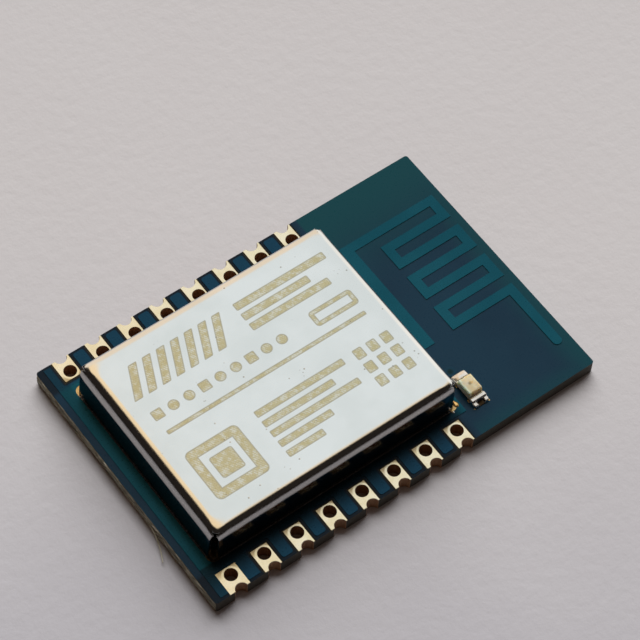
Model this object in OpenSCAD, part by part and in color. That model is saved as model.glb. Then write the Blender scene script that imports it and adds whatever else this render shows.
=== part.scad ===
// Radio module with castellated edge contacts: a small glass-laminate board with
// a printed aerial at one end, a folded shield can over the circuit and one
// indicator lamp. Millimetres, +X from the snapped end to the aerial end, +Z up,
// origin at the middle of the underside.

/* [Board] */
// Length of the board, from the snapped end to the aerial end
board_len = 23.8; // [23.2:0.1:26]
// Width of the board across the two rows of contacts
board_wid = 16; // [15.7:0.1:18]
// Thickness of the bare glass laminate
laminate_t = 0.8; // [0.6:0.1:1.6]
// Radius of the board's corners
corner_r = 0.15; // [0.05:0.05:0.4]
// Depth of the scored groove in each face along the snapped end
score_depth = 0.25; // [0.1:0.05:0.28]
// How far the scored faces lean back from the snapped web
score_lean = 0.07; // [0.02:0.01:0.12]
// Unevenness of the snapped web
snap_rough = 0.03; // [0.01:0.01:0.05]
// Length of the glass strand left loose at the snapped end
strand_len = 2.45; // [1:0.05:3]
// Diameter of the loose strand
strand_d = 0.06; // [0.03:0.01:0.08]
// Radius that the loose strand bends away with
strand_bend = 4.9; // [4:0.1:12]
// Root of the loose strand, from the board's near long edge
strand_in = 6; // [4:0.1:9]
// Slope of the loose strand, in degrees down from its root
strand_slope = 7; // [0:0.5:8]

/* [Copper and mask] */
// Thickness of each copper layer
copper_t = 0.035; // [0.018:0.001:0.07]
// Thickness of the solder mask
mask_t = 0.02; // [0.01:0.005:0.03]
// Bare strip between a contact's pad and the mask round it
mask_gap = 0.07; // [0.04:0.01:0.1]
// Gap between the ground copper and a contact or land that is not grounded
isolation = 0.2; // [0.15:0.01:0.24]
// Strip without ground copper along the two long edges
pour_edge = 0.17; // [0.15:0.01:0.3]
// Strip without ground copper along the snapped end
pour_end = 0.4; // [0.3:0.05:0.5]
// Radius of the corners of the ground copper's fingers and pockets
pour_r = 0.14; // [0.08:0.01:0.18]
// Wall thickness of the plating in the drilled holes
plating_t = 0.03; // [0.02:0.005:0.04]

/* [Contacts] */
// Contacts in each row
contact_count = 8; // [4:1:8]
// Distance from one contact to the next
contact_pitch = 2; // [1.8:0.05:2.1]
// First contact, from the snapped end
first_contact = 1.45; // [1.35:0.05:1.6]
// Width of a contact's pad
contact_w = 1; // [0.95:0.05:1.15]
// Length of a contact's pad, from the board's edge inwards
contact_len = 1.35; // [1.3:0.05:1.4]
// Added width of the grounded contact at the snapped end
ground_extra = 0.2; // [0:0.05:0.3]
// Finished diameter of the round hole in each contact
hole_d = 0.7; // [0.5:0.05:0.7]
// Row of holes, from the board's edge inwards
hole_in = 0.9; // [0.88:0.01:0.92]
// Finished diameter of the half-round notch at the edge
notch_d = 0.7; // [0.5:0.05:0.7]
// Centres of the notches, outside the board's edge
notch_out = 0.05; // [0:0.01:0.1]
// How far the drilled holes sit off the pads' centre lines
drill_shift = 0.06; // [0:0.01:0.06]

/* [Shield can] */
// Length of the can
can_len = 15.3; // [14.8:0.1:15.8]
// Width of the can
can_wid = 12.1; // [11.9:0.1:12.3]
// Height of the can from its lower edge to its top face
can_h = 2.12; // [2.08:0.01:2.6]
// The can's end wall, from the board's snapped end
can_in = 1.1; // [0.9:0.05:1.2]
// Thickness of the can's sheet
sheet_t = 0.2; // [0.12:0.01:0.25]
// Outer radius of the can's bends
bend_r = 0.47; // [0.3:0.01:0.55]
// Added width of the open slit at each corner, past the bends
corner_slit = 0.01; // [0.01:0.01:0.1]
// Thickness of the solder under the can's walls
solder_t = 0.04; // [0.02:0.01:0.06]
// Height of the solder fillet inside the can's walls
fillet_h = 0.2; // [0.1:0.01:0.25]
// Bare ground land showing outside the can's walls
land_out = 0.06; // [0.04:0.01:0.08]
// Bare ground land inside the can's wall faces
land_in = 0.52; // [0.5:0.01:0.6]
// Corner radius of the bare ground land
land_r = 0.35; // [0.2:0.05:0.4]

/* [Aerial] */
// Width of the aerial's trace
trace_w = 0.5; // [0.4:0.01:0.6]
// Distance between the aerial's rungs
rung_pitch = 1.145; // [1.05:0.005:1.2]
// Rungs in the aerial's zigzag
rungs = 7; // [5:2:7]
// First rung, from the board's far long edge
rung_in = 3.13; // [2.9:0.01:3.4]
// Outer turns of the zigzag, from the board's aerial end
turn_in = 0.75; // [0.6:0.01:0.9]
// Inner turns of the zigzag, from the can's wall
turn_gap = 2.9; // [2.7:0.01:3.1]
// Round end of the aerial's tail, from the board's near long edge
tail_in = 1.9; // [1.7:0.01:2.4]
// Width of the ground strip beside the can that the aerial starts from
strip_w = 1.35; // [1.2:0.01:1.6]
// Length of the ground strip
strip_len = 7.45; // [6:0.01:7.8]

/* [Indicator lamp] */
// Middle of the lamp, from the can's wall
lamp_gap = 1.1; // [1:0.01:1.3]
// Middle of the lamp, from the board's near long edge
lamp_in = 2.42; // [2.3:0.01:2.9]
// Length of the lamp's base between its metal ends
lamp_len = 1.54; // [1.4:0.01:1.6]
// Width of the lamp
lamp_w = 0.8; // [0.7:0.01:0.85]
// Thickness of the lamp's base
lamp_base_t = 0.22; // [0.15:0.01:0.3]
// Height of the lamp's clear block above its base
lens_h = 0.35; // [0.25:0.01:0.5]
// Length of the clear block where it meets the base
lens_len = 1.12; // [1:0.01:1.16]
// How far the ends of the clear block lean in
lens_lean = 0.08; // [0.02:0.01:0.15]
// Thickness of the lamp's metal ends
metal_t = 0.03; // [0.02:0.005:0.04]
// Radius of the half-round recess in each end of the lamp
end_recess_r = 0.2; // [0.15:0.01:0.22]
// Side of the lamp's square light-emitting die
die_w = 0.26; // [0.2:0.01:0.35]
// Height of the die
die_h = 0.12; // [0.08:0.01:0.16]
// Length of the lamp's solder fillets
lamp_solder = 0.3; // [0.2:0.01:0.32]
// Outer diameter of the covered hole beside the lamp
via_d = 0.3; // [0.24:0.01:0.36]

/* [Parts under the can] */
// Side of the square radio chip
radio_w = 5; // [4.5:0.1:5.2]
// Height of the radio chip
radio_h = 0.85; // [0.75:0.05:1]
// Contacts on each side of the radio chip
radio_pins = 8; // [6:1:8]
// Distance between the radio chip's contacts
radio_pitch = 0.5; // [0.45:0.01:0.52]
// Side of the square pad under the radio chip
radio_pad = 3.4; // [3:0.1:3.6]
// Length of the memory chip's body
memory_len = 4.9; // [4.7:0.1:5]
// Width of the memory chip's body
memory_wid = 3.9; // [3.7:0.1:4]
// Height of the memory chip's body
memory_h = 1.45; // [1.2:0.05:1.5]
// Distance over the memory chip's leads
memory_span = 6; // [5.8:0.1:6.2]
// Distance between the memory chip's leads
memory_pitch = 1.27; // [1.2:0.01:1.27]
// Length of the crystal
crystal_len = 3.2; // [3:0.1:3.3]
// Width of the crystal
crystal_wid = 2.5; // [2.3:0.1:2.5]
// Height of the crystal's ceramic base
crystal_base_t = 0.5; // [0.4:0.05:0.6]
// Height of the crystal's lid
crystal_lid_t = 0.28; // [0.2:0.02:0.4]
// Length of the small capacitors, resistors and coils
chip_len = 1; // [0.9:0.05:1.05]
// Width of the small capacitors, resistors and coils
chip_wid = 0.5; // [0.4:0.05:0.55]
// Height of the small capacitors
capacitor_h = 0.5; // [0.4:0.05:0.6]
// Height of the small resistors
resistor_h = 0.35; // [0.3:0.05:0.5]
// Height of the small coils
coil_h = 0.55; // [0.45:0.05:0.7]

/* [Hidden] */
$fn = 48;
eps = 0.2; // overshoot of cutting tools
run_off = 1; // how far a cutting outline runs past an edge

// Levels
z_copper_low = mask_t;
z_lam = z_copper_low + copper_t;
z_top = z_lam + laminate_t;
z_land = z_top + copper_t;
z_can = z_land + solder_t;
z_roof = z_can + can_h - sheet_t;

// Places along and across the board
x_snap = -board_len / 2;
x_end = board_len / 2;
y_edge = board_wid / 2;
x_can = x_snap + can_in;
x_can_end = x_can + can_len;
x_mid = (x_can + x_can_end) / 2;
y_can = can_wid / 2;
corner_in = bend_r + corner_slit;
skirt = mask_t; // mask that covers the copper's side faces

// Contacts: 1 to contact_count along the near edge, the rest back along the far edge
contacts = 2 * contact_count;
function is_near(i) = i <= contact_count;
function side(i) = is_near(i) ? -1 : 1;
function place(i) = is_near(i) ? i - 1 : contacts - i;
function contact_x(i) = x_snap + first_contact + contact_pitch * place(i);
function is_ground(i) = i == 1;
function pad_w(i) = contact_w + (is_ground(i) ? ground_extra : 0);
hole_r = hole_d / 2;
notch_r = notch_d / 2;

// Ground copper
x_pour = x_snap + pour_end;
x_pour_end = x_can_end + isolation;
y_pour = y_edge - pour_edge;
y_pocket = y_edge - contact_len - isolation;

// Aerial
x_strip = x_can_end + strip_w;
x_turn_in = x_can_end + turn_gap;
x_turn_out = x_end - turn_in;
function rung_y(k) = y_edge - rung_in - rung_pitch * k;
y_strip = rung_y(0) + trace_w / 2;

// Indicator lamp
lamp_x = x_can_end + lamp_gap;
lamp_y = -y_edge + lamp_in;
lamp_end = lamp_len / 2 + metal_t;
z_lamp = z_land + metal_t;
z_lens = z_lamp + lamp_base_t;
top_strip = 0.2; // metal on the lamp's upper face
lamp_land_w = lamp_w + 0.18;
lamp_land_len = lamp_solder + 0.36;
via_x = lamp_x - 0.15;
via_y = lamp_y + lamp_end + 0.6;
via_pad_r = via_d / 2 + 0.13;
via_r = via_d / 2;

// Places of the parts under the can, from its middle: each keeps its distance from the nearest walls
h_x = can_len / 2;
h_y = can_wid / 2;
radio_at = [h_x - 4.65, -0.7];
memory_at = [-h_x + 3.65, 1.6];
crystal_at = [-h_x + 3.75, -h_y + 2.1];
radio_lead_l = 0.4;
radio_lead_w = 0.24;
radio_land_l = 0.8;
radio_lead_t = 0.2;
radio_standoff = 0.02;
memory_standoff = 0.1;
memory_lead_w = 0.4;
memory_land_w = 0.6;
memory_lead_t = 0.2;
memory_foot = 0.6;
memory_draft = 0.12;
crystal_land = [1.1, 0.9];
crystal_notch = 0.2;
crystal_rim = 0.15; // ledge of the tray round its lid
crystal_lid_r = 0.3;
chip_cap = 0.25; // length of a small part's metal end
chip_land = 0.5; // length of its land
chip_skin = 0.02; // how far its ceramic sits back from its metal ends

// Small parts: [x, y, turned a quarter]
row_x = h_x - 7.05;
row_step = 1.6;
row_y = h_y - 1.35;
row_gap = 1.4; // between the rows of capacitors and resistors
side_x = h_x - 1.35;
end_x = -h_x + 1.1;
end_y = -h_y + 1.4;
end_step = 1.7;
capacitor_at = concat(
    [for (s = [-1, 1], k = [0:3]) [row_x + row_step * k, s * row_y, false]],
    [[end_x, end_y + end_step, true], [side_x, 0.9, true]]
);
resistor_at = concat(
    [for (k = [0:2]) [row_x + row_step * k, row_y - row_gap, false]],
    [[end_x, end_y, true]]
);
coil_at = [[side_x, 2.9, true], [side_x, -1.1, true]];
small_at = concat(capacitor_at, resistor_at, coil_at);

// ---- Outlines shared by more than one piece ----

// Points of an arc from angle a to angle b
function arc(x, y, r, a, b, n = 6) = [
    for (k = [0:n])
        let (t = a + (b - a) * k / n)
            [x + r * cos(t), y + r * sin(t)]
];

// Rectangle with round corners, from its low and high edges
function round_box(x0, x1, y0, y1, r) = concat(
    arc(x0 + r, y0 + r, r, 180, 270), arc(x1 - r, y0 + r, r, 270, 360),
    arc(x1 - r, y1 - r, r, 0, 90), arc(x0 + r, y1 - r, r, 90, 180)
);

// Plain rectangle grown by g on every side
module box_2d(x0, x1, y0, y1, g = 0) {
    translate([x0 - g, y0 - g])
        square([x1 - x0 + 2 * g, y1 - y0 + 2 * g]);
}

// The line of the snapped end: an uneven edge just outside the score's root
function snap_x(y) =
    x_snap - snap_rough * (1.1 + 0.5 * sin(150 * y) + 0.3 * sin(410 * y) + 0.2 * sin(977 * y));

// Outline of the mask, with a clean cut at the scored end
module board_2d() {
    polygon(round_box(x_snap, x_end, -y_edge, y_edge, corner_r));
}

// Outline of the laminate, with the uneven line of the snapped web
module laminate_2d() {
    n = 64;
    y_c = y_edge - corner_r;
    polygon(concat(
        arc(x_end - corner_r, -y_c, corner_r, 270, 360), arc(x_end - corner_r, y_c, corner_r, 0, 90),
        arc(x_snap + corner_r, y_c, corner_r, 90, 180),
        [for (k = [0:n]) let (y = y_c * (1 - 2 * k / n)) [snap_x(y), y]],
        arc(x_snap + corner_r, -y_c, corner_r, 180, 270)
    ));
}

// Round holes and edge notches of every contact
module drills(wall = 0) {
    for (i = [1:contacts])
        translate([contact_x(i) + drill_shift, 0]) {
            translate([0, side(i) * (y_edge - hole_in)])
                circle(hole_r + wall);
            translate([0, side(i) * (y_edge + notch_out)])
                circle(notch_r + wall);
        }
}

// Pad of contact i, grown by g
module pad_2d(i, g = 0) {
    y_a = side(i) * (y_edge - contact_len);
    y_b = side(i) * (y_edge + g);
    box_2d(contact_x(i) - pad_w(i) / 2, contact_x(i) + pad_w(i) / 2, min(y_a, y_b), max(y_a, y_b), g);
}

// Pocket in the ground copper round contact i, shrunk by g; the last ones in each row run off its end
module pocket_2d(i, g) {
    is_last = place(i) == contact_count - 1;
    reach = contact_w / 2 + isolation - g;
    x_low = contact_x(i) - reach;
    x_high = is_last ? x_strip + run_off : contact_x(i) + reach;
    mirror([0, is_near(i) ? 1 : 0])
        polygon(round_box(x_low, x_high, y_pocket + g, y_edge + run_off, pour_r - g / 2));
}

// Cuts that round the outer corners of the fingers left between two pockets
module finger_corners(i, g) {
    x_a = contact_x(i) + contact_w / 2 + isolation - g;
    x_b = contact_x(i) + contact_pitch - contact_w / 2 - isolation + g;
    y_f = y_pour + g;
    r = pour_r;
    mirror([0, is_near(i) ? 1 : 0])
        difference() {
            box_2d(x_a - eps, x_b + eps, y_f - r, y_f + eps);
            polygon(round_box(x_a, x_b, y_f - 4 * r, y_f, r));
        }
}

// Lands of the parts under the can, each [x, y, width, depth] from the can's middle
function radio_row(k) = radio_pitch * (k - (radio_pins - 1) / 2);
function radio_lands() = concat(
    [[radio_at[0], radio_at[1], radio_pad, radio_pad]],
    [for (s = [-1, 1], k = [0:radio_pins - 1])
        [radio_at[0] + radio_row(k), radio_at[1] + s * radio_w / 2, radio_lead_w, radio_land_l]],
    [for (s = [-1, 1], k = [0:radio_pins - 1])
        [radio_at[0] + s * radio_w / 2, radio_at[1] + radio_row(k), radio_land_l, radio_lead_w]]
);
function memory_row(k) = memory_at[0] + memory_pitch * (k - 1.5);
memory_land_y = (memory_span - memory_foot) / 2;
function memory_lands() = [
    for (s = [-1, 1], k = [0:3])
        [memory_row(k), memory_at[1] + s * memory_land_y, memory_land_w, memory_foot + 0.4]
];
crystal_step = [crystal_len - crystal_land[0] + 0.2, crystal_wid - crystal_land[1] + 0.2] / 2;
function crystal_lands() = [
    for (s = [-1, 1], t = [-1, 1])
        [crystal_at[0] + s * crystal_step[0], crystal_at[1] + t * crystal_step[1],
         crystal_land[0], crystal_land[1]]
];
small_land_w = chip_wid + 0.1;
function small_lands() = [
    for (p = small_at, s = [-1, 1])
        let (d = s * (chip_len - 0.1) / 2)
            p[2] ? [p[0], p[1] + d, small_land_w, chip_land]
                 : [p[0] + d, p[1], chip_land, small_land_w]
];
all_lands = concat(radio_lands(), memory_lands(), crystal_lands(), small_lands());

module lands_2d(lands, g = 0) {
    for (p = lands)
        translate([x_mid + p[0], p[1]])
            square([p[2] + 2 * g, p[3] + 2 * g], center = true);
}

// Zones cleared of ground copper round each group of lands
land_clear = 0.12;
module inner_zones(g) {
    c = 2 * (land_clear - g);
    translate([x_mid + radio_at[0], radio_at[1]])
        square(radio_w + radio_land_l + c, center = true);
    for (s = [-1, 1])
        translate([x_mid + memory_at[0], memory_at[1] + s * memory_land_y])
            square([3 * memory_pitch + memory_land_w + c, memory_foot + 0.4 + c], center = true);
    translate([x_mid + crystal_at[0], crystal_at[1]])
        square([crystal_len + 0.2 + c, crystal_wid + 0.2 + c], center = true);
    for (p = small_at)
        translate([x_mid + p[0], p[1]])
            rotate(p[2] ? 90 : 0)
                square([chip_len - 0.1 + chip_land + c, small_land_w + c], center = true);
}

// Ground copper on the upper face, grown by g
module ground_top_2d(g = 0) {
    difference() {
        union() {
            box_2d(x_pour, x_pour_end, -y_pour, y_pour, g);
            box_2d(x_pour_end - eps, x_strip, y_strip - strip_len, y_strip, g);
        }
        for (i = [1:contacts])
            if (!is_ground(i))
                pocket_2d(i, g);
        for (i = [1:contacts])
            if (place(i) < contact_count - 1 && !is_ground(i))
                finger_corners(i, g);
        if (g == 0)
            pad_2d(1);
        inner_zones(g);
    }
}

// Aerial: rungs joined in turn at their outer and inner ends, with a round-ended tail
module aerial_2d(g = 0) {
    h = trace_w / 2;
    box_2d(x_strip, x_turn_out + h, rung_y(0) - h, rung_y(0) + h, g);
    for (k = [1:rungs - 1])
        box_2d(x_turn_in - h, x_turn_out + h, rung_y(k) - h, rung_y(k) + h, g);
    for (k = [0:rungs - 2])
        let (x = k % 2 == 0 ? x_turn_out : x_turn_in)
            box_2d(x - h, x + h, rung_y(k + 1) - h, rung_y(k) + h, g);
    y_tail = -y_edge + tail_in + h;
    box_2d(x_turn_out - h, x_turn_out + h, y_tail, rung_y(rungs - 1) + h, g);
    translate([x_turn_out, y_tail])
        circle(h + g);
}

// Lands of the lamp, and the ring of the covered hole beside it
module lamp_land_2d(s, g = 0) {
    y_in = lamp_y + s * (lamp_end - 0.36);
    y_out = lamp_y + s * (lamp_end + lamp_solder);
    box_2d(lamp_x - lamp_land_w / 2, lamp_x + lamp_land_w / 2, min(y_in, y_out), max(y_in, y_out), g);
}
module via_ring_2d(g = 0) {
    translate([via_x, via_y])
        circle(via_pad_r + g);
}

// Far land of the lamp, the ring and the neck that joins them
module lamp_copper_2d(g = 0) {
    lamp_land_2d(1, g);
    via_ring_2d(g);
    box_2d(via_x - 0.1, via_x + 0.1, lamp_y + lamp_end, via_y, g);
}

// The can's plan grown by g, with corner radius r
module wall_ring(g, r) {
    polygon(round_box(x_can - g, x_can_end + g, -y_can - g, y_can + g, r));
}

// Bare ring of ground land that the can's walls stand on
module ring_2d() {
    difference() {
        wall_ring(land_out, land_r);
        wall_ring(-land_in, land_r / 2);
    }
}

// ---- Board ----

// Glass laminate: drilled, notched along both long edges, scored and snapped at one end
module laminate() {
    color("darkkhaki")
        difference() {
            translate([0, 0, z_lam])
                linear_extrude(laminate_t)
                    difference() {
                        laminate_2d();
                        drills(plating_t);
                        translate([via_x, via_y])
                            circle(via_r);
                    }
            for (top = [0, 1])
                mirror([0, 0, top])
                    translate([0, y_edge + eps, top ? -z_top : z_lam])
                        rotate([90, 0, 0])
                            linear_extrude(board_wid + 2 * eps)
                                polygon([
                                    [x_snap - run_off, -eps], [x_snap, -eps], [x_snap, 0],
                                    [x_snap - score_lean, score_depth], [x_snap - run_off, score_depth]
                                ]);
        }
}

// Strand of glass torn out of the snapped web: it leaves along the edge and bends away and down
module loose_strand() {
    root = [x_snap - snap_rough, -y_edge + strand_in, z_lam + laminate_t / 2];
    turn = strand_len / strand_bend * 180 / PI;
    color("lemonchiffon")
        difference() {
            translate(root)
                rotate([strand_slope, 0, 0])
                    translate([-strand_bend, 0, 0])
                        rotate([0, 0, -turn])
                            rotate_extrude(angle = turn)
                                translate([strand_bend, 0])
                                    circle(d = strand_d);
            translate([0, 0, z_lam])
                linear_extrude(laminate_t)
                    laminate_2d();
        }
}

// Solder mask of the upper face: a thin coat that rises over the copper
module mask_top() {
    color("darkslategray")
        difference() {
            translate([0, 0, z_top])
                union() {
                    linear_extrude(mask_t)
                        difference() {
                            board_2d();
                            mask_openings();
                        }
                    linear_extrude(copper_t + mask_t)
                        difference() {
                            union() {
                                ground_top_2d(skirt);
                                aerial_2d(skirt);
                                lamp_copper_2d(skirt);
                            }
                            mask_openings();
                        }
                }
            translate([0, 0, z_top - eps])
                linear_extrude(copper_t + eps)
                    union() {
                        ground_top_2d();
                        aerial_2d();
                        lamp_copper_2d();
                    }
        }
}

// Windows in the upper mask
module mask_openings() {
    for (i = [1:contacts])
        pad_2d(i, is_ground(i) ? 0 : mask_gap);
    ring_2d();
    lands_2d(all_lands);
    for (s = [-1, 1])
        lamp_land_2d(s);
}

// Solder mask of the underside
module mask_bottom() {
    color("darkslategray")
        difference() {
            union() {
                translate([0, 0, z_lam - mask_t])
                    linear_extrude(mask_t)
                        difference() {
                            board_2d();
                            pads_low_2d();
                        }
                linear_extrude(z_lam)
                    difference() {
                        union() {
                            ground_bottom_2d(skirt);
                            via_ring_2d(skirt);
                        }
                        pads_low_2d();
                    }
            }
            translate([0, 0, z_copper_low])
                linear_extrude(copper_t + eps)
                    union() {
                        ground_bottom_2d();
                        via_ring_2d();
                    }
        }
}

module pads_low_2d() {
    for (i = [1:contacts])
        pad_2d(i, mask_gap);
}

module ground_bottom_2d(g = 0) {
    box_2d(x_pour, x_pour_end, -y_pocket, y_pocket, g);
}

module ground_top() {
    color("goldenrod")
        translate([0, 0, z_top])
            linear_extrude(copper_t)
                ground_top_2d();
}

module ground_bottom() {
    color("goldenrod")
        translate([0, 0, z_copper_low])
            linear_extrude(copper_t)
                ground_bottom_2d();
}

module aerial() {
    color("peru")
        translate([0, 0, z_top])
            linear_extrude(copper_t)
                aerial_2d();
}

// One contact: pads on both faces joined by a plated hole and a plated edge notch
module contact(i) {
    x = contact_x(i) + drill_shift;
    s = side(i);
    h = z_land - z_copper_low;
    color("khaki")
        difference() {
            union() {
                for (z = [z_copper_low, z_top])
                    translate([0, 0, z])
                        linear_extrude(copper_t)
                            pad_2d(i);
                translate([x, s * (y_edge - hole_in), z_copper_low])
                    cylinder(h = h, r = hole_r + plating_t);
                intersection() {
                    translate([x, s * (y_edge + notch_out), z_copper_low])
                        cylinder(h = h, r = notch_r + plating_t);
                    translate([x - contact_w, min(0, s * y_edge), z_copper_low])
                        cube([2 * contact_w, y_edge, h]);
                }
            }
            translate([x, s * (y_edge - hole_in), z_copper_low - eps])
                cylinder(h = h + 2 * eps, r = hole_r);
            translate([x, s * (y_edge + notch_out), z_copper_low - eps])
                cylinder(h = h + 2 * eps, r = notch_r);
        }
}

// ---- Shield can ----

// A quarter bend that runs along +Y for len, from a wall at x = 0 to a roof at z = 0
module bend(len) {
    rotate([-90, 0, 0])
        linear_extrude(len)
            intersection() {
                difference() {
                    translate([bend_r, bend_r])
                        circle(bend_r);
                    translate([bend_r, bend_r])
                        circle(bend_r - sheet_t);
                }
                square(bend_r);
            }
}

// One wall with its bend, along +Y, outer face at x = 0
module can_side(len) {
    translate([0, -len / 2, 0]) {
        translate([0, 0, -can_h])
            cube([sheet_t, len, can_h - bend_r]);
        bend(len);
    }
}

// One folded sheet: a roof and four walls with open slits at the corners
module shield_can() {
    l_side = can_len - 2 * corner_in;
    w_side = can_wid - 2 * corner_in;
    color("gainsboro")
        translate([x_mid, 0, z_can + can_h]) {
            translate([-(can_len / 2 - bend_r), -w_side / 2, -sheet_t])
                cube([can_len - 2 * bend_r, w_side, sheet_t]);
            translate([-l_side / 2, -(can_wid / 2 - bend_r), -sheet_t])
                cube([l_side, can_wid - 2 * bend_r, sheet_t]);
            for (s = [0, 1]) {
                mirror([s, 0, 0])
                    translate([-can_len / 2, 0, 0])
                        can_side(w_side);
                mirror([0, s, 0])
                    translate([0, -can_wid / 2, 0])
                        rotate([0, 0, 90])
                            can_side(l_side);
            }
        }
}

// Solder between the ground land and the four walls, with a fillet inside
module solder_run(len) {
    rotate([90, 0, 0])
        translate([0, 0, -len / 2])
            linear_extrude(len)
                polygon([
                    [-land_out * 0.8, 0], [0, solder_t * 1.5], [0, solder_t], [sheet_t, solder_t],
                    [sheet_t, fillet_h], [sheet_t + fillet_h, 0]
                ]);
}

module shield_solder() {
    color("silver")
        translate([x_mid, 0, z_land])
            for (s = [0, 1]) {
                mirror([s, 0, 0])
                    translate([-can_len / 2, 0, 0])
                        solder_run(can_wid - 2 * corner_in);
                mirror([0, s, 0])
                    translate([0, -can_wid / 2, 0])
                        rotate([0, 0, 90])
                            solder_run(can_len - 2 * corner_in);
            }
}

// ---- Indicator lamp ----

module lamp_lands() {
    color("goldenrod") {
        translate([0, 0, z_top])
            linear_extrude(copper_t) {
                lamp_land_2d(-1);
                difference() {
                    lamp_copper_2d();
                    translate([via_x, via_y])
                        circle(via_r - plating_t);
                }
            }
        translate([0, 0, z_copper_low])
            linear_extrude(copper_t)
                difference() {
                    via_ring_2d();
                    translate([via_x, via_y])
                        circle(via_r - plating_t);
                }
        translate([via_x, via_y, z_lam])
            linear_extrude(laminate_t)
                difference() {
                    circle(via_r);
                    circle(via_r - plating_t);
                }
    }
}

// Base of the lamp with a half-round recess in each end
module lamp_base_shape() {
    difference() {
        translate([lamp_x - lamp_w / 2, lamp_y - lamp_len / 2, z_lamp])
            cube([lamp_w, lamp_len, lamp_base_t]);
        for (s = [-1, 1])
            translate([lamp_x, lamp_y + s * lamp_len / 2, z_lamp - eps])
                cylinder(h = lamp_base_t + 2 * eps, r = end_recess_r);
    }
}

module lamp_base() {
    color("ivory")
        lamp_base_shape();
}

// Metal end of the lamp: wraps the base's end and lines its recess
module lamp_end_piece(s) {
    y_in = lamp_y + s * (lamp_len / 2 - top_strip);
    y_out = lamp_y + s * lamp_end;
    color("gold")
        difference() {
            translate([lamp_x - lamp_w / 2, min(y_in, y_out), z_land])
                cube([lamp_w, abs(y_out - y_in), lamp_base_t + 2 * metal_t]);
            lamp_base_shape();
            translate([lamp_x, lamp_y + s * lamp_len / 2, z_land - eps])
                cylinder(h = lamp_base_t + 2 * metal_t + 2 * eps, r = end_recess_r - metal_t);
        }
}

module lamp_end_near() {
    lamp_end_piece(-1);
}

module lamp_end_far() {
    lamp_end_piece(1);
}

module lamp_die_shape() {
    translate([lamp_x - die_w / 2, lamp_y - die_w / 2, z_lens])
        cube([die_w, die_w, die_h]);
}

module lamp_die() {
    color("dimgray")
        lamp_die_shape();
}

// Clear block cast over the die, with leaning ends
module lamp_lens() {
    h = lens_len / 2;
    color("lemonchiffon")
        difference() {
            translate([lamp_x - lamp_w / 2, lamp_y, z_lens])
                rotate([90, 0, 90])
                    linear_extrude(lamp_w)
                        polygon([[-h, 0], [h, 0], [h - lens_lean, lens_h], [lens_lean - h, lens_h]]);
            lamp_die_shape();
        }
}

// Hollow-faced fillet between a land and a metal end
module lamp_solder_piece(s) {
    h = lamp_base_t * 0.9;
    w = lamp_solder * 0.9;
    n = 6;
    color("silver")
        translate([lamp_x, lamp_y + s * lamp_end, z_land])
            rotate([90, 0, s > 0 ? 90 : -90])
                translate([0, 0, -lamp_w / 2])
                    linear_extrude(lamp_w)
                        polygon(concat([[0, 0]], [
                            for (k = [0:n])
                                let (t = 90 * k / n)
                                    [w * (1 - sin(t)), h * (1 - cos(t))]
                        ]));
}

module lamp_solder_near() {
    lamp_solder_piece(-1);
}

module lamp_solder_far() {
    lamp_solder_piece(1);
}

// ---- Parts under the can ----

module inner_lands() {
    color("khaki")
        translate([0, 0, z_top])
            linear_extrude(copper_t)
                lands_2d(all_lands);
}

// Flat contacts and heat pad in the radio chip's underside
module radio_contacts() {
    edge = radio_w / 2 - radio_lead_l / 2;
    color("silver")
        translate([x_mid + radio_at[0], radio_at[1], z_land])
            linear_extrude(radio_lead_t) {
                square(radio_pad, center = true);
                for (q = [0:3], k = [0:radio_pins - 1])
                    rotate(90 * q)
                        translate([radio_row(k), edge])
                            square([radio_lead_w, radio_lead_l], center = true);
            }
}

module radio_chip() {
    color("dimgray")
        difference() {
            translate([x_mid + radio_at[0], radio_at[1], z_land + radio_standoff])
                linear_extrude(radio_h - radio_standoff)
                    square(radio_w, center = true);
            radio_contacts();
        }
}

// Gull-wing leads: foot on the land, riser and shoulder into the body
module memory_leads() {
    z_sh = memory_standoff + memory_h / 2;
    t = memory_lead_t;
    w = memory_span / 2;
    y_up = memory_wid / 2 + 0.25;
    y_root = memory_wid / 2 - 0.3;
    color("silver")
        for (s = [-1, 1], k = [0:3])
            translate([x_mid + memory_at[0] + memory_pitch * (k - 1.5), memory_at[1], z_land])
                mirror([0, s > 0 ? 0 : 1, 0])
                    translate([-memory_lead_w / 2, 0, 0])
                        rotate([90, 0, 90])
                            linear_extrude(memory_lead_w)
                                polygon([
                                    [w, 0], [w, t], [w - memory_foot + t, t], [y_up, z_sh + t / 2],
                                    [y_root, z_sh + t / 2], [y_root, z_sh - t / 2],
                                    [y_up - t, z_sh - t / 2], [w - memory_foot, 0]
                                ]);
}

// Moulded body with draft on all four sides, parted at the leads' middle
module memory_chip() {
    z_m = memory_h / 2;
    d = memory_draft;
    color("dimgray")
        difference() {
            translate([x_mid + memory_at[0], memory_at[1], z_land + memory_standoff])
                intersection() {
                    translate([-memory_len / 2, 0, 0])
                        rotate([90, 0, 90])
                            linear_extrude(memory_len)
                                polygon(draft_profile(memory_wid / 2, z_m, d));
                    translate([0, memory_wid / 2, 0])
                        rotate([90, 0, 0])
                            linear_extrude(memory_wid)
                                polygon(draft_profile(memory_len / 2, z_m, d));
                }
            memory_leads();
        }
}

// Six-sided section, widest at half height
function draft_profile(w, h, d) = [
    [-w + d, 0], [w - d, 0], [w, h],
    [w - d, 2 * h], [-w + d, 2 * h], [-w, h]
];

// Ceramic tray of the crystal with quarter-round corners
module crystal_base() {
    color("wheat")
        translate([x_mid + crystal_at[0], crystal_at[1], z_land])
            linear_extrude(crystal_base_t)
                difference() {
                    square([crystal_len, crystal_wid], center = true);
                    for (s = [-1, 1], t = [-1, 1])
                        translate([s * crystal_len / 2, t * crystal_wid / 2])
                            circle(crystal_notch);
                }
}

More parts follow.
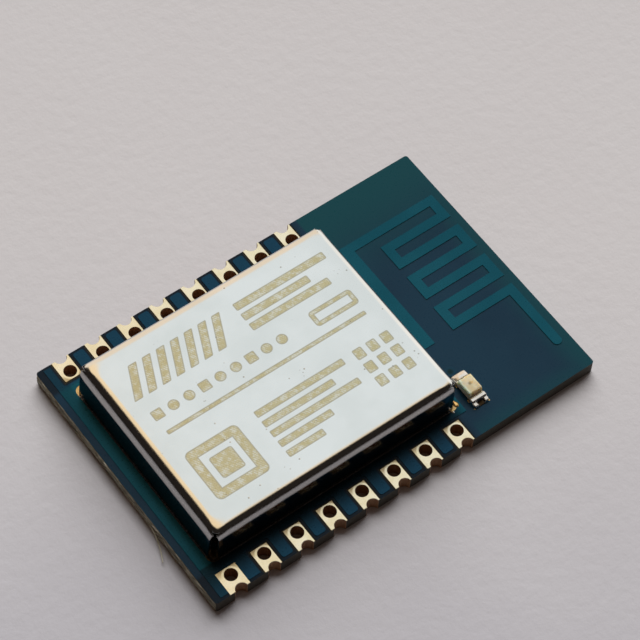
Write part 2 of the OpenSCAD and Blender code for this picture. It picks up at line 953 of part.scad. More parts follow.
module crystal_lid() {
    rim = crystal_rim;
    color("silver")
        translate([x_mid + crystal_at[0], crystal_at[1], z_land + crystal_base_t])
            linear_extrude(crystal_lid_t)
                polygon(round_box(
                    -crystal_len / 2 + rim, crystal_len / 2 - rim,
                    -crystal_wid / 2 + rim, crystal_wid / 2 - rim, crystal_lid_r
                ));
}

// Small two-ended part: ceramic body that sits back from its metal ends
module small_part(p, h, tone) {
    size = [chip_len, chip_wid, h];
    color(tone)
        translate([x_mid + p[0], p[1], z_land + h / 2])
            rotate(p[2] ? 90 : 0) {
                cube(size - 2 * chip_skin * [1, 1, 1], center = true);
                for (s = [-1, 1])
                    translate([s * (chip_len - chip_cap) / 2, 0, 0])
                        cube([chip_cap, chip_wid, h], center = true);
            }
}

module capacitor(i) {
    small_part(capacitor_at[i - 1], capacitor_h, "tan");
}

module resistor(i) {
    small_part(resistor_at[i - 1], resistor_h, "dimgray");
}

module coil(i) {
    small_part(coil_at[i - 1], coil_h, "lightsteelblue");
}

// ---- Drawing ----

laminate();
loose_strand();
mask_top();
mask_bottom();
ground_top();
ground_bottom();
aerial();
for (i = [1:contacts])
    contact(i);
shield_can();
shield_solder();
lamp_lands();
lamp_base();
lamp_end_near();
lamp_end_far();
lamp_die();
lamp_lens();
lamp_solder_near();
lamp_solder_far();
inner_lands();
radio_chip();
radio_contacts();
memory_chip();
memory_leads();
crystal_base();
crystal_lid();
for (i = [1:len(capacitor_at)])
    capacitor(i);
for (i = [1:len(resistor_at)])
    resistor(i);
for (i = [1:len(coil_at)])
    coil(i);
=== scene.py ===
# A small radio module: a glass-laminate board with castellated edge contacts, a zigzag aerial under the
# solder mask, a folded shield can over the circuit and one indicator lamp. The sections follow the module
# as it is made: bare board, copper, mask, contacts, parts, can, lamp, and then the table that it lies on.
import math

import bmesh
import bpy
from mathutils import Matrix, Vector


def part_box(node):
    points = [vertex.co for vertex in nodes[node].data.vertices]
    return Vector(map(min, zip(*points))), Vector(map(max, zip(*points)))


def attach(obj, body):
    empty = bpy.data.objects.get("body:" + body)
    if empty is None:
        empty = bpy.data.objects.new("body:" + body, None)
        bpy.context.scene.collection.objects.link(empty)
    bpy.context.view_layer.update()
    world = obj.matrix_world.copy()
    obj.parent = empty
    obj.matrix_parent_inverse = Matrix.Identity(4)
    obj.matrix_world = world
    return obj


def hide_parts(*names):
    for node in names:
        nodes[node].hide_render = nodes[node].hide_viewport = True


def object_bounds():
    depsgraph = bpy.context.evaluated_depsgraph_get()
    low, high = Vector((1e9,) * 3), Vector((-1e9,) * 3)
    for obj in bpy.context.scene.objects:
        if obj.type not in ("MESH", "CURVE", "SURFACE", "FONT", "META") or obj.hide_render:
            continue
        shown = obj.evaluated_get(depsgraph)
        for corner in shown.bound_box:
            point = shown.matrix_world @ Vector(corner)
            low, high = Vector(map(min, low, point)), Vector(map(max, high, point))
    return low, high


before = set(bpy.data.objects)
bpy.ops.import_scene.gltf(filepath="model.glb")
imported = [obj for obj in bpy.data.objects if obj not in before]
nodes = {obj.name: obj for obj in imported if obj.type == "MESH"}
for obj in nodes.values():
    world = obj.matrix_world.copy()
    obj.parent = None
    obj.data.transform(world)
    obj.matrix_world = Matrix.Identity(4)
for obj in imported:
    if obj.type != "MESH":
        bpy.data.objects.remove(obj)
cad_low, cad_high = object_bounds()
mm = 0.001


# ---- Laminate ----
# The bare board is woven glass in epoxy, routed on three sides and snapped along a score at the fourth.
# The routed sides are brown and smooth, and the snapped side is a rough, paler band of torn glass.

def new_material(name):
    """A material with one Principled BSDF, and helpers to add nodes to it."""
    material = bpy.data.materials.new(name)
    material.use_nodes = True
    return material, material.node_tree, material.node_tree.nodes["Principled BSDF"]


def add(tree, kind, settings=None, **inputs):
    """A new node: settings are its properties, inputs are values or output sockets."""
    node = tree.nodes.new(kind)
    for key, value in (settings or {}).items():
        setattr(node, key, value)
    for key, value in inputs.items():
        socket = node.inputs[int(key[1:])] if key[1:].isdigit() else node.inputs[key.replace("_", " ")]
        if isinstance(value, bpy.types.NodeSocket):
            tree.links.new(value, socket)
        else:
            socket.default_value = value
    return node


def maths(tree, operation, a, b=0.0, c=0.0, clamp=False):
    """The output of one Math node."""
    return add(tree, "ShaderNodeMath", {"operation": operation, "use_clamp": clamp}, i0=a, i1=b, i2=c).outputs[0]


def blend(tree, factor, a, b):
    """The colour output of a Mix node between a and b."""
    mix = add(tree, "ShaderNodeMix", {"data_type": "RGBA"}, i0=factor)
    for socket, value in ((mix.inputs[6], a), (mix.inputs[7], b)):
        if isinstance(value, bpy.types.NodeSocket):
            tree.links.new(value, socket)
        else:
            socket.default_value = (*value, 1.0)
    return mix.outputs[2]


def ramp(tree, value, low, high, to_low=0.0, to_high=1.0):
    """Value mapped smoothly from low..high to to_low..to_high."""
    return add(tree, "ShaderNodeMapRange", {"interpolation_type": "SMOOTHSTEP"},
               i0=value, i1=low, i2=high, i3=to_low, i4=to_high).outputs[0]


def new_group(name, inputs, outputs):
    """A shader node group with float inputs {name: default} and the named outputs."""
    group = bpy.data.node_groups.new(name, "ShaderNodeTree")
    for key, default in inputs.items():
        kind = "NodeSocketVector" if isinstance(default, tuple) else "NodeSocketFloat"
        socket = group.interface.new_socket(key, in_out="INPUT", socket_type=kind)
        socket.default_value = default
    for key in outputs:
        group.interface.new_socket(key, in_out="OUTPUT", socket_type="NodeSocketFloat")
    return group, group.nodes.new("NodeGroupInput").outputs, group.nodes.new("NodeGroupOutput").inputs


def use(tree, group, **inputs):
    """The outputs of a node group placed in a material."""
    return add(tree, "ShaderNodeGroup", {"node_tree": group}, **inputs).outputs


# Fine unevenness that every finish here has: a slow drift of tone, a fine grain and a height for bumps.
grain, into, out = new_group("Grain", {"Drift size": 2.0, "Grain size": 0.1, "Offset": 0.0},
                             ["Drift", "Fine", "Height"])
place = add(grain, "ShaderNodeTexCoord").outputs["Object"]
moved = add(grain, "ShaderNodeVectorMath", {"operation": "ADD"}, i0=place, i1=into["Offset"]).outputs[0]
per_drift = maths(grain, "DIVIDE", 1000.0, into["Drift size"])
per_grain = maths(grain, "DIVIDE", 1000.0, into["Grain size"])
drift = add(grain, "ShaderNodeTexNoise", Vector=moved, Scale=per_drift, Detail=3.0, Roughness=0.6).outputs[0]
fine = add(grain, "ShaderNodeTexNoise", Vector=moved, Scale=per_grain, Detail=2.0, Roughness=0.7).outputs[0]
grain.links.new(ramp(grain, drift, 0.3, 0.7), out["Drift"])
grain.links.new(ramp(grain, fine, 0.25, 0.75), out["Fine"])
coarse_part, fine_part = maths(grain, "MULTIPLY", drift, 0.4), maths(grain, "MULTIPLY", fine, 0.6)
grain.links.new(maths(grain, "ADD", coarse_part, fine_part), out["Height"])

laminate_glass, tree, bsdf = new_material("laminate_glass")
place = add(tree, "ShaderNodeTexCoord").outputs["Object"]
x, y, z = add(tree, "ShaderNodeSeparateXYZ", Vector=place).outputs[:]
snapped = ramp(tree, x, -11.86 * mm, -11.9 * mm)
along = add(tree, "ShaderNodeMapping", Vector=place, Scale=(1.0, 0.12, 1.0)).outputs[0]
strands = add(tree, "ShaderNodeTexNoise", Vector=along, Scale=9000.0, Detail=4.0, Roughness=0.7).outputs[0]
clumps = add(tree, "ShaderNodeTexNoise", Vector=along, Scale=1800.0, Detail=2.0).outputs[0]
wavy = maths(tree, "ADD", maths(tree, "MULTIPLY", z, 31000.0), maths(tree, "MULTIPLY", clumps, 5.0))
plies = maths(tree, "SINE", wavy)
torn = ramp(tree, maths(tree, "ADD", strands, maths(tree, "MULTIPLY", plies, 0.08)), 0.36, 0.68)
worn = use(tree, grain, Drift_size=1.2, Grain_size=0.06)
routed = blend(tree, worn["Fine"], (0.020, 0.016, 0.009), (0.044, 0.036, 0.021))
rough_web = blend(tree, torn, (0.045, 0.041, 0.023), (0.40, 0.37, 0.26))
tree.links.new(blend(tree, snapped, routed, rough_web), bsdf.inputs["Base Color"])
bsdf.inputs["Roughness"].default_value = 0.72
height = maths(tree, "ADD", worn["Height"], maths(tree, "MULTIPLY", maths(tree, "MULTIPLY", strands, snapped), 2.0))
bump = add(tree, "ShaderNodeBump", Strength=0.6, Distance=0.02 * mm, Height=height)
tree.links.new(bump.outputs[0], bsdf.inputs["Normal"])


def dress(node, material):
    """Gives a CAD node its material."""
    for place in nodes[node].material_slots:
        place.material = material


dress("laminate", laminate_glass)


# ---- Torn glass along the snapped side ----
# Snapping the board off its panel leaves short bundles of glass along the web, and one strand that bends
# away from it. They are bare glass, held by the resin that they grow out of.

def finish_piece(name, mesh, material, smooth=True, level=False):
    """An object for a finished mesh, at the origin, riding on the module. Level faces may stay flat."""
    piece = bpy.data.objects.new(name, mesh)
    bpy.context.scene.collection.objects.link(piece)
    mesh.materials.clear()
    mesh.materials.append(material)
    for face in mesh.polygons:
        face.use_smooth = smooth and not (level and abs(face.normal.z) > 0.9999)
    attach(piece, "root")
    return piece


glass_fibre, tree, bsdf = new_material("glass_fibre")
worn = use(tree, grain, Drift_size=0.5, Grain_size=0.05)
tree.links.new(blend(tree, worn["Drift"], (0.30, 0.27, 0.17), (0.62, 0.60, 0.50)), bsdf.inputs["Base Color"])
bsdf.inputs["Roughness"].default_value = 0.4

bundle_count = 260
bundle_len = 1.0 * mm
bundle_r = 0.022 * mm
bundle_root = 0.045 * mm    # how far in from the torn face the bundles are rooted
end_gap = 1.0 * mm          # no bundles this close to the board's corners
low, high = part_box("laminate")

tree = bpy.data.node_groups.new("Torn bundles", "GeometryNodeTree")
for key, kind in (("Count", "NodeSocketInt"), ("Length", "NodeSocketFloat"), ("Radius", "NodeSocketFloat")):
    tree.interface.new_socket(key, in_out="INPUT", socket_type=kind)
tree.interface.new_socket("Geometry", in_out="OUTPUT", socket_type="NodeSocketGeometry")
given = tree.nodes.new("NodeGroupInput").outputs
line = add(tree, "GeometryNodeCurvePrimitiveLine",
           Start=(low.x + bundle_root, low.y + end_gap, (low.z + high.z) / 2),
           End=(low.x + bundle_root, high.y - end_gap, (low.z + high.z) / 2)).outputs[0]
points = add(tree, "GeometryNodeCurveToPoints", Curve=line, Count=given["Count"]).outputs[0]
shift = add(tree, "FunctionNodeRandomValue", {"data_type": "FLOAT_VECTOR"},
            i0=(-0.015 * mm, -0.2 * mm, -0.38 * mm), i1=(0.03 * mm, 0.2 * mm, 0.36 * mm), Seed=4).outputs[0]
points = add(tree, "GeometryNodeSetPosition", Geometry=points, Offset=shift).outputs[0]
stick = add(tree, "GeometryNodeMeshCylinder", Vertices=5, Radius=given["Radius"], Depth=given["Length"]).outputs[0]
turn = add(tree, "FunctionNodeRandomValue", {"data_type": "FLOAT_VECTOR"}, i0=(1.45, -0.2, -0.03),
           i1=(1.7, 0.2, 0.03), Seed=9).outputs[0]
size = add(tree, "FunctionNodeRandomValue", {"data_type": "FLOAT_VECTOR"}, i0=(0.5, 0.5, 0.2),
           i1=(1.4, 1.2, 1.0), Seed=2).outputs[0]
sticks = add(tree, "GeometryNodeInstanceOnPoints", Points=points, Instance=stick, Rotation=turn,
             Scale=size).outputs[0]
joined = add(tree, "GeometryNodeRealizeInstances", Geometry=sticks).outputs[0]
made = add(tree, "GeometryNodeSetMaterial", Geometry=joined, Material=glass_fibre).outputs[0]
tree.links.new(made, tree.nodes.new("NodeGroupOutput").inputs[0])


def grown(name, tree, values, material):
    """A plain piece from a Geometry Nodes tree, with its named inputs set."""
    seed_mesh = bpy.data.meshes.new(name + "_seed")
    holder = bpy.data.objects.new(name + "_seed", seed_mesh)
    bpy.context.scene.collection.objects.link(holder)
    modifier = holder.modifiers.new("Grow", "NODES")
    modifier.node_group = tree
    for item in tree.interface.items_tree:
        if item.in_out == "INPUT" and item.name in values:
            modifier[item.identifier] = values[item.name]
    evaluated = holder.evaluated_get(bpy.context.evaluated_depsgraph_get())
    mesh = bpy.data.meshes.new_from_object(evaluated)
    holder.modifiers.remove(modifier)
    bpy.data.objects.remove(holder)
    return finish_piece(name, mesh, material)


grown("torn_bundles", tree, {"Count": bundle_count, "Length": bundle_len, "Radius": bundle_r}, glass_fibre)
dress("loose_strand", glass_fibre)


# ---- Copper ----
# Foil is bonded to both faces and etched to the ground areas and the aerial. Under the mask it stays
# plain copper. Where the mask is open, round the can, it carries the same thin gold as the contacts.

# A rounded box, or its outline of a given line width, as a mask over the surface seen from above, in mm.
box_mask, into, out = new_group("Box mask", {"X": 0.0, "Y": 0.0, "Half length": 1.0, "Half width": 1.0,
                                             "Corner": 0.1, "Line": 200.0, "Lean": 0.0, "Edge": 0.03}, ["Inside"])
place = add(box_mask, "ShaderNodeTexCoord").outputs["Object"]
px, py, _ = add(box_mask, "ShaderNodeSeparateXYZ", Vector=place).outputs[:]
from_x = maths(box_mask, "SUBTRACT", maths(box_mask, "MULTIPLY", px, 1000.0), into["X"])
from_y = maths(box_mask, "SUBTRACT", maths(box_mask, "MULTIPLY", py, 1000.0), into["Y"])
from_x = maths(box_mask, "SUBTRACT", from_x, maths(box_mask, "MULTIPLY", from_y, into["Lean"]))


def outside(away, half):
    """How far a place lies past a rounded box's side, less its corner radius, in mm."""
    straight = maths(box_mask, "SUBTRACT", into[half], into["Corner"])
    return maths(box_mask, "SUBTRACT", maths(box_mask, "ABSOLUTE", away), straight)


dx, dy = outside(from_x, "Half length"), outside(from_y, "Half width")
past_x, past_y = maths(box_mask, "MAXIMUM", dx, 0.0), maths(box_mask, "MAXIMUM", dy, 0.0)
reach = add(box_mask, "ShaderNodeCombineXYZ", X=past_x, Y=past_y).outputs[0]
far = add(box_mask, "ShaderNodeVectorMath", {"operation": "LENGTH"}, i0=reach).outputs["Value"]
near = maths(box_mask, "MINIMUM", maths(box_mask, "MAXIMUM", dx, dy), 0.0)
gap = maths(box_mask, "SUBTRACT", maths(box_mask, "ADD", far, near), into["Corner"])
half_line = maths(box_mask, "MULTIPLY", into["Line"], 0.5)
gap = maths(box_mask, "SUBTRACT", maths(box_mask, "ABSOLUTE", maths(box_mask, "ADD", gap, half_line)), half_line)
edge_in = maths(box_mask, "MULTIPLY", into["Edge"], -1.0)
inside = add(box_mask, "ShaderNodeMapRange", i0=gap, i1=into["Edge"], i2=edge_in).outputs[0]
box_mask.links.new(inside, out["Inside"])

# Painted shade: metal at the can's foot is darkened to dark brown along its near wall, by one row of
# contacts, and along its end wall, by the snapped end, where the can shades it.
foot_shade, _, out = new_group("Foot shade", {}, ["Dull"])
place = add(foot_shade, "ShaderNodeTexCoord").outputs["Object"]
px, py, _ = add(foot_shade, "ShaderNodeSeparateXYZ", Vector=place).outputs[:]
foot_row = maths(foot_shade, "MULTIPLY", ramp(foot_shade, py, -5.9 * mm, -6.0 * mm),
                 ramp(foot_shade, px, 3.95 * mm, 3.85 * mm))
foot_end = maths(foot_shade, "MULTIPLY", ramp(foot_shade, px, -10.6 * mm, -10.7 * mm),
                 ramp(foot_shade, py, 5.3 * mm, 5.2 * mm))
both = maths(foot_shade, "MAXIMUM", foot_row, foot_end)
foot_shade.links.new(maths(foot_shade, "MULTIPLY", both, 0.85), out["Dull"])

low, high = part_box("shield_can")
can_mid = (low + high) / 2
can_half = (high - low) / 2
land_show = 0.1 * mm

foil, tree, bsdf = new_material("foil")
worn = use(tree, grain, Drift_size=1.5, Grain_size=0.08)
copper = blend(tree, worn["Drift"], (0.60, 0.27, 0.14), (0.80, 0.42, 0.25))
gold = blend(tree, worn["Drift"], (0.80, 0.55, 0.24), (0.95, 0.72, 0.38))
outer = use(tree, box_mask, X=can_mid.x / mm, Y=can_mid.y / mm, Corner=0.35,
            Half_length=(can_half.x + land_show) / mm, Half_width=(can_half.y + land_show) / mm)["Inside"]
# Painted shade: the gilt land at the can's foot is darkened where the can shades it.
gold = blend(tree, use(tree, foot_shade)["Dull"], gold, (0.06, 0.04, 0.02))
tree.links.new(blend(tree, outer, copper, gold), bsdf.inputs["Base Color"])
bsdf.inputs["Metallic"].default_value = 1.0
tree.links.new(maths(tree, "MULTIPLY_ADD", worn["Fine"], 0.15, 0.28), bsdf.inputs["Roughness"])
bump = add(tree, "ShaderNodeBump", Strength=0.3, Distance=0.004 * mm, Height=worn["Height"])
tree.links.new(bump.outputs[0], bsdf.inputs["Normal"])
for node in ("ground_top", "ground_bottom", "aerial"):
    dress(node, foil)


# ---- Solder mask ----
# A dark blue-green epoxy film is laid over both faces and opened over the pads. It flows over the foil's
# edges in soft ramps, and it looks lighter and greener where copper lies under it.

bare_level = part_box("mask_top")[0].z + 0.02 * mm
ramp_w = 0.08 * mm
steepness = 3.0


def flowed(node, name):
    """A copy of a mask node whose steps over the copper are soft ramps."""
    work = bmesh.new()
    work.from_mesh(nodes[node].data)
    bmesh.ops.remove_doubles(work, verts=work.verts, dist=0.0001 * mm)
    bmesh.ops.dissolve_limit(work, angle_limit=math.radians(0.5), verts=work.verts, edges=work.edges)
    top = max(v.co.z for v in work.verts)
    steps = []
    for edge in work.edges:
        if len(edge.link_faces) != 2 or edge.calc_face_angle(0.0) < 1.0:
            continue
        levels = [v.co.z for v in edge.verts]
        if abs(levels[0] - levels[1]) > 1e-7:
            continue
        for level, other in ((top, bare_level), (bare_level, top)):
            if abs(levels[0] - level) < 1e-6:
                for face in edge.link_faces:
                    if abs(face.normal.z) < 0.1 and any(abs(v.co.z - other) < 1e-6 for v in face.verts) and all(
                            min(abs(v.co.z - other), abs(v.co.z - level)) < 1e-6 for v in face.verts):
                        steps.append(edge)
    for vert in work.verts:
        vert.co.z = bare_level + (vert.co.z - bare_level) * steepness
    bmesh.ops.bevel(work, geom=list(dict.fromkeys(steps)), offset=ramp_w, segments=3, profile=0.5, affect="EDGES",
                    clamp_overlap=True, loop_slide=True)
    for vert in work.verts:
        vert.co.z = bare_level + (vert.co.z - bare_level) / steepness
    mesh = bpy.data.meshes.new(name)
    work.to_mesh(mesh)
    return mesh


mask_film, tree, bsdf = new_material("mask_film")
place = add(tree, "ShaderNodeTexCoord").outputs["Object"]
x, y, z = add(tree, "ShaderNodeSeparateXYZ", Vector=place).outputs[:]
worn = use(tree, grain, Drift_size=5.0, Grain_size=0.12)
over_copper = ramp(tree, z, bare_level + 0.004 * mm, bare_level + 0.034 * mm)
bare = blend(tree, worn["Drift"], (0.0031, 0.0215, 0.043), (0.0048, 0.0285, 0.053))
backed = blend(tree, worn["Drift"], (0.0056, 0.068, 0.100), (0.0088, 0.084, 0.120))
# The film looks greener towards the board's outer edges at the aerial end, where light reaches it from below.
by_end = maths(tree, "MULTIPLY", ramp(tree, x, 10.0 * mm, 11.9 * mm), 0.8)
by_side = maths(tree, "MULTIPLY", ramp(tree, y, -6.8 * mm, -8.0 * mm), 0.5)
verge = maths(tree, "MAXIMUM", maths(tree, "MAXIMUM", ramp(tree, y, 1.5 * mm, 7.9 * mm), by_end), by_side)
verge = maths(tree, "MULTIPLY", verge, ramp(tree, x, 4.4 * mm, 4.6 * mm))
bare = blend(tree, verge, bare, (0.0014, 0.046, 0.058))
via = {"X": 5.45, "Y": -4.18}    # the covered hole beside the lamp's far land
hidden = use(tree, box_mask, Half_length=0.36, Half_width=0.36, Corner=0.36, Edge=0.08, **via)["Inside"]
sunken = use(tree, box_mask, Half_length=0.15, Half_width=0.15, Corner=0.15, Edge=0.06, **via)["Inside"]
over_copper = maths(tree, "MULTIPLY", over_copper, maths(tree, "MULTIPLY_ADD", hidden, -0.9, 1.0))
on_top = ramp(tree, z, bare_level + 0.027 * mm, bare_level + 0.034 * mm)
mirrored = maths(tree, "MULTIPLY", on_top, maths(tree, "MULTIPLY", over_copper, 0.72))
# Painted shade: between the contacts the film is made darker and bluer over copper, and nearly black
# over bare board, where the lower film lies in shade.
aside = maths(tree, "ABSOLUTE", y)
rows = maths(tree, "MULTIPLY", ramp(tree, aside, 6.15 * mm, 6.5 * mm), ramp(tree, x, 4.4 * mm, 3.9 * mm))
backed = blend(tree, rows, backed, (0.0095, 0.048, 0.090))
bare = blend(tree, rows, bare, (0.0016, 0.008, 0.016))
# Painted reflection: copper beside the can's near wall is darkened as if it mirrored the dark wall.
shaded = maths(tree, "MULTIPLY", ramp(tree, y, -7.9 * mm, -6.5 * mm), ramp(tree, y, -6.0 * mm, -6.1 * mm))
shaded = maths(tree, "MULTIPLY", shaded, ramp(tree, x, 4.9 * mm, 4.0 * mm))
backed = blend(tree, maths(tree, "MULTIPLY", shaded, 0.85), backed, (0.0040, 0.012, 0.018))
# Painted shade: copper along the snapped end is darkened to a dull teal where the can shades it.
end_shade = maths(tree, "MULTIPLY", ramp(tree, x, -10.75 * mm, -11.0 * mm), 0.4)
backed = blend(tree, end_shade, backed, (0.006, 0.024, 0.034))
film = blend(tree, sunken, blend(tree, over_copper, bare, backed), (0.001, 0.014, 0.017))
tree.links.new(film, bsdf.inputs["Base Color"])
tree.links.new(mirrored, bsdf.inputs["Metallic"])
tree.links.new(maths(tree, "MULTIPLY_ADD", worn["Fine"], 0.08, 0.26), bsdf.inputs["Roughness"])
bsdf.inputs["Specular IOR Level"].default_value = 0.14
rise = maths(tree, "ADD", worn["Height"], maths(tree, "MULTIPLY", hidden, -1.2))
bump = add(tree, "ShaderNodeBump", Strength=0.3, Distance=0.003 * mm, Height=rise)
tree.links.new(bump.outputs[0], bsdf.inputs["Normal"])

mask = finish_piece("mask_film_top", flowed("mask_top", "mask_film_top"), mask_film, level=True)
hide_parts("mask_top")
dress("mask_bottom", mask_film)


# ---- Contacts ----
# Sixteen plated contacts: a pad on each face, a plated hole and a plated half hole at the edge. Copper
# under a thin gold finish, pale on the flat pads, and brown inside the holes.

pitch, first_hole, hole_row = 2.0 * mm, -10.39 * mm, 7.1 * mm

contact_gold, tree, bsdf = new_material("contact_gold")
place = add(tree, "ShaderNodeTexCoord").outputs["Object"]
x, y, z = add(tree, "ShaderNodeSeparateXYZ", Vector=place).outputs[:]
worn = use(tree, grain, Drift_size=0.8, Grain_size=0.05)
in_hole = ramp(tree, z, 0.885 * mm, 0.85 * mm)
aside = maths(tree, "ABSOLUTE", y)
shifted = maths(tree, "ADD", x, pitch / 2 - first_hole)
off_hole = maths(tree, "SUBTRACT", maths(tree, "FLOORED_MODULO", shifted, pitch), pitch / 2)
radial = add(tree, "ShaderNodeCombineXYZ", X=off_hole, Y=maths(tree, "SUBTRACT", aside, hole_row)).outputs[0]
from_hole = add(tree, "ShaderNodeVectorMath", {"operation": "LENGTH"}, i0=radial).outputs["Value"]
collar = ramp(tree, from_hole, 0.50 * mm, 0.44 * mm)
pad_tone = blend(tree, worn["Drift"], (0.90, 0.80, 0.55), (0.97, 0.90, 0.70))
# Painted reflection: the pads' inner ends, toward the can, are darkened to brown where they mirror it, but not round
# the holes.
painted_can_reflection = maths(tree, "MULTIPLY", ramp(tree, aside, 7.15 * mm, 6.75 * mm), maths(tree, "SUBTRACT", 1.0, collar))
pad_tone = blend(tree, maths(tree, "MULTIPLY", painted_can_reflection, 0.75), pad_tone, (0.42, 0.31, 0.16))
hole_tone = blend(tree, worn["Fine"], (0.20, 0.095, 0.050), (0.44, 0.250, 0.130))
tree.links.new(blend(tree, in_hole, pad_tone, hole_tone), bsdf.inputs["Base Color"])
tree.links.new(maths(tree, "MULTIPLY_ADD", in_hole, -0.85, 1.0), bsdf.inputs["Metallic"])
rough = maths(tree, "MULTIPLY_ADD", worn["Fine"], 0.06, 0.20)
tree.links.new(maths(tree, "MULTIPLY_ADD", in_hole, 0.3, rough), bsdf.inputs["Roughness"])
bump = add(tree, "ShaderNodeBump", Strength=0.25, Distance=0.002 * mm, Height=worn["Height"])
tree.links.new(bump.outputs[0], bsdf.inputs["Normal"])


def merged(node, spread=0.0):
    """A merged copy of a CAD node's mesh, ready for modelling, with its flat faces made whole."""
    work = bmesh.new()
    work.from_mesh(nodes[node].data)
    bmesh.ops.remove_doubles(work, verts=work.verts, dist=0.0001 * mm)
    bmesh.ops.dissolve_limit(work, angle_limit=math.radians(0.5), verts=work.verts, edges=work.edges)
    if spread:
        edges = [e for e in work.edges if len(e.link_faces) == 2 and e.calc_face_angle(0.0) > math.radians(40)]
        bmesh.ops.bevel(work, geom=edges, offset=spread, segments=2, profile=0.5, affect="EDGES", clamp_overlap=True)
    mesh = bpy.data.meshes.new(node + "_soft")
    work.to_mesh(mesh)
    return mesh


def soft_copy(node, name, material, spread):
    """A piece that stands for a CAD node, with softened edges and flat faces that stay flat."""
    piece = finish_piece(name, merged(node, spread), material, level=True)
    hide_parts(node)
    return piece


for node in sorted(nodes):
    if node.startswith("contact_"):
        soft_copy(node, "plated_" + node, contact_gold, 0.012 * mm)


# ---- Parts under the can ----
# The closed can hides a radio chip, a memory chip, a crystal and small two-ended parts on gilt lands.
# Black moulded epoxy, cream ceramic, tinned leads: reflow solder holds each to its land.

def plain_finish(name, dark, light, rough, metallic=0.0, drift_size=0.8, grain_size=0.06, bump_height=0.006):
    """A finish of two close tones with a fine grain."""
    material, tree, bsdf = new_material(name)
    worn = use(tree, grain, Drift_size=drift_size, Grain_size=grain_size)
    tree.links.new(blend(tree, worn["Drift"], dark, light), bsdf.inputs["Base Color"])
    tree.links.new(maths(tree, "MULTIPLY_ADD", worn["Fine"], 0.15, rough), bsdf.inputs["Roughness"])
    bsdf.inputs["Metallic"].default_value = metallic
    bump = add(tree, "ShaderNodeBump", Strength=0.4, Distance=bump_height * mm, Height=worn["Height"])
    tree.links.new(bump.outputs[0], bsdf.inputs["Normal"])
    return material


land_gold = plain_finish("land_gold", (0.80, 0.55, 0.24), (0.95, 0.72, 0.38), 0.25, 1.0)
tinned = plain_finish("tinned", (0.55, 0.55, 0.54), (0.78, 0.78, 0.76), 0.22, 1.0)
moulded = plain_finish("moulded_epoxy", (0.012, 0.012, 0.013), (0.03, 0.03, 0.032), 0.55, 0.0, 1.5, 0.04, 0.01)
cream = plain_finish("cream_ceramic", (0.55, 0.46, 0.32), (0.72, 0.62, 0.46), 0.5)
tan = plain_finish("tan_ceramic", (0.36, 0.24, 0.14), (0.50, 0.35, 0.22), 0.45)
black = plain_finish("resistor_glaze", (0.01, 0.01, 0.012), (0.03, 0.03, 0.035), 0.3)
blue_grey = plain_finish("coil_ceramic", (0.38, 0.44, 0.50), (0.55, 0.60, 0.66), 0.4)
finishes = {"inner_lands": land_gold, "radio_chip": moulded, "radio_contacts": tinned, "memory_chip": moulded,
            "memory_leads": tinned, "crystal_base": cream, "crystal_lid": tinned, "lamp_lands": land_gold}
for node in nodes:
    if node.startswith("capacitor_"):
        finishes[node] = tan
    if node.startswith("resistor_"):
        finishes[node] = black
    if node.startswith("coil_"):
        finishes[node] = blue_grey
for node, material in finishes.items():
    dress(node, material)


# ---- Solder round the can ----
# The can stands on a ring of bare land in a thin run of solder paste, reflowed with the other parts.
# It shows as short bright beads where it was squeezed out at the walls' ends and along their feet.

bright_solder, tree, bsdf = new_material("bright_solder")
worn = use(tree, grain, Drift_size=0.3, Grain_size=0.05)
# Painted shade: the solder across the lamp's near-end recess is made dark brown.
recess_shade = use(tree, box_mask, X=5.6, Y=-6.58, Half_length=0.18, Half_width=0.19, Corner=0.1, Edge=0.05)["Inside"]
gilded = use(tree, box_mask, X=4.62, Y=-5.82, Half_length=0.32, Half_width=0.3, Corner=0.2, Edge=0.04)["Inside"]
metal = blend(tree, worn["Drift"], (0.72, 0.68, 0.64), (0.92, 0.90, 0.87))
metal = blend(tree, gilded, metal, (0.90, 0.62, 0.26))
# Painted shade: solder at the can's foot is darkened where the can shades it.
metal = blend(tree, use(tree, foot_shade)["Dull"], metal, (0.06, 0.045, 0.035))
tree.links.new(blend(tree, recess_shade, metal, (0.035, 0.022, 0.012)), bsdf.inputs["Base Color"])
bsdf.inputs["Metallic"].default_value = 1.0
tree.links.new(maths(tree, "MULTIPLY_ADD", worn["Fine"], 0.10, 0.20), bsdf.inputs["Roughness"])
bump = add(tree, "ShaderNodeBump", Strength=0.3, Distance=0.003 * mm, Height=worn["Height"])
tree.links.new(bump.outputs[0], bsdf.inputs["Normal"])
dress("shield_solder", bright_solder)


def beads(spots, foot):
    """Low domes of solder: each spot is x, y, half length, half width and height, in mm."""
    work = bmesh.new()
    for x, y, half_x, half_y, h in spots:
        made = bmesh.ops.create_uvsphere(work, u_segments=14, v_segments=8, radius=1.0)
        squash = Matrix.Diagonal((half_x * mm, half_y * mm, h * mm, 1.0))
        bmesh.ops.transform(work, matrix=Matrix.Translation((x * mm, y * mm, foot)) @ squash, verts=made["verts"])
    mesh = bpy.data.meshes.new("beads")
    work.to_mesh(mesh)
    return mesh


land_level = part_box("ground_top")[1].z
spots = [(4.10, -6.17, 0.09, 0.08, 0.05), (-10.84, 5.5, 0.05, 0.12, 0.06), (4.50, -5.88, 0.15, 0.20, 0.05)]
finish_piece("solder_beads", beads(spots, land_level), bright_solder)


# ---- Shield can ----
# One piece of tinned nickel silver, blanked and folded down on all four sides, with the corners left
# open. The roof carries plain marks burnt in by a laser, and the press leaves tiny pits and rubs.

